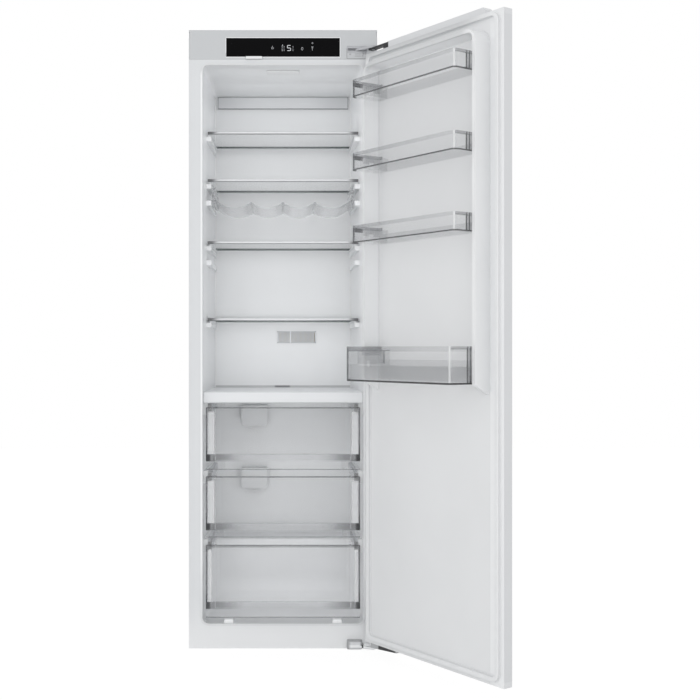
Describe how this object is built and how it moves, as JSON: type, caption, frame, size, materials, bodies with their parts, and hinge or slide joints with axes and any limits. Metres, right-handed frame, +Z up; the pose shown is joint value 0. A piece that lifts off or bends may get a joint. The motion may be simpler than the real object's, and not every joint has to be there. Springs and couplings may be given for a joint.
{
  "type": "built-in larder refrigerator",
  "caption": "Tall built-in larder refrigerator with an open right-hinged door, glass shelves, bottle rack, clear drawers on rails and clear door racks.",
  "frame": {"origin": "centre of the base tray's underside, at floor level under the middle of the cabinet", "axes": "+Z up, -Y out of the front opening, +X towards the hinge side"},
  "size_m": [0.8327, 1.0311, 1.772],
  "materials": {
    "white_steel": "smooth white paint",
    "white_plastic": "satin white moulding",
    "foam": "rigid foam",
    "galvanised": "galvanised sheet",
    "black_gloss": "black gloss",
    "silver_plastic": "silver-grey",
    "grey_trim": "satin grey",
    "clear_plastic": "clear moulding",
    "smoke_plastic": "tinted clear moulding",
    "shelf_glass": "toughened glass",
    "lamp_lens": "frosted lens",
    "rail_steel": "zinc-plated",
    "hinge_steel": "black coated",
    "hinge_silver": "plated",
    "black_steel": "black paint",
    "cooler_aluminium": "bare fins",
    "copper": "copper",
    "gasket_grey": "soft grey-white seal",
    "dark_plastic": "black moulding"
  },
  "bodies": {
    "cabinet": {"outer_case": "white_steel", "rear_panel": "galvanised", "base_tray": "galvanised", "cabinet_insulation": "foam", "inner_liner": "white_plastic", "back_cover": "white_plastic", "control_fascia": "white_plastic", "control_panel": "black_gloss", "ceiling_light": "lamp_lens", "fan_cover": "silver_plastic", "intake_grille": "white_plastic", "fan_motor": "black_steel", "evaporator": "cooler_aluminium", "bottle_rack": "clear_plastic", "divider_shelf": "white_plastic", "compressor": "black_steel", "drip_tray": "dark_plastic", "condenser_coil": "black_steel", "filter_drier": "copper", "hinge_bracket_top": "hinge_silver", "hinge_bracket_bottom": "hinge_silver", "hinge_cover_bottom": "white_plastic", "shelf_frame_1": "grey_trim", "shelf_glass_1": "shelf_glass", "shelf_frame_2": "grey_trim", "shelf_glass_2": "shelf_glass", "shelf_frame_3": "grey_trim", "shelf_glass_3": "shelf_glass", "shelf_frame_4": "grey_trim", "shelf_glass_4": "shelf_glass", "rail_fixed_left_1": "rail_steel", "rail_fixed_right_1": "rail_steel", "rail_fixed_left_2": "rail_steel", "rail_fixed_right_2": "rail_steel", "rail_fixed_left_3": "rail_steel", "rail_fixed_right_3": "rail_steel"},
    "door": {"door_skin": "white_steel", "door_insulation": "foam", "door_liner": "white_plastic", "door_cap_top": "white_plastic", "door_cap_bottom": "white_plastic", "door_gasket": "gasket_grey", "hinge_arm_top": "hinge_steel", "hinge_arm_bottom": "hinge_steel"},
    "drawer_unit_1": {"drawer_1": "clear_plastic", "rail_slide_left_1": "rail_steel", "rail_slide_right_1": "rail_steel"},
    "drawer_unit_2": {"drawer_2": "clear_plastic", "rail_slide_left_2": "rail_steel", "rail_slide_right_2": "rail_steel"},
    "drawer_unit_3": {"drawer_3": "clear_plastic", "rail_slide_left_3": "rail_steel", "rail_slide_right_3": "rail_steel"},
    "fan": {"fan_rotor": "grey_trim"},
    "switch": {"door_switch": "white_plastic"},
    "rack_1": {"door_rack_1": "clear_plastic"},
    "rack_2": {"door_rack_2": "clear_plastic"},
    "rack_3": {"door_rack_3": "clear_plastic"},
    "rack_4": {"door_rack_4": "clear_plastic"},
    "insert": {"rack_insert_4": "smoke_plastic"}
  },
  "joints": [
    {"name": "door_hinge", "type": "hinge", "parent": "cabinet", "child": "door", "pos_m": [0.257, -0.3005, 0.861], "axis": [0, 0, 1], "range_deg": [-124.25, 0]},
    {"name": "drawer_1_slide", "type": "slide", "parent": "cabinet", "child": "drawer_unit_1", "axis": [0, -1, 0], "range_m": [0, 0.255]},
    {"name": "drawer_2_slide", "type": "slide", "parent": "cabinet", "child": "drawer_unit_2", "axis": [0, -1, 0], "range_m": [0, 0.255]},
    {"name": "drawer_3_slide", "type": "slide", "parent": "cabinet", "child": "drawer_unit_3", "axis": [0, -1, 0], "range_m": [0, 0.165]},
    {"name": "fan_spin", "type": "hinge", "parent": "cabinet", "child": "fan", "pos_m": [0, 0.1321, 1.56], "axis": [0, 1, 0], "continuous": true},
    {"name": "door_switch_press", "type": "slide", "parent": "cabinet", "child": "switch", "axis": [0, -1, 0], "range_m": [-0.004, 0], "stiffness_N_per_m": 300, "springref_m": 0.002},
    {"name": "rack_1_lift", "type": "slide", "parent": "door", "child": "rack_1", "axis": [0, 0, 1], "range_m": [0, 0.03]},
    {"name": "rack_2_lift", "type": "slide", "parent": "door", "child": "rack_2", "axis": [0, 0, 1], "range_m": [0, 0.03]},
    {"name": "rack_3_lift", "type": "slide", "parent": "door", "child": "rack_3", "axis": [0, 0, 1], "range_m": [0, 0.03]},
    {"name": "rack_4_lift", "type": "slide", "parent": "door", "child": "rack_4", "axis": [0, 0, 1], "range_m": [0, 0.03]},
    {"name": "rack_insert_lift", "type": "slide", "parent": "rack_4", "child": "insert", "axis": [0, 0, 1], "range_m": [0, 0.12]}
  ]
}
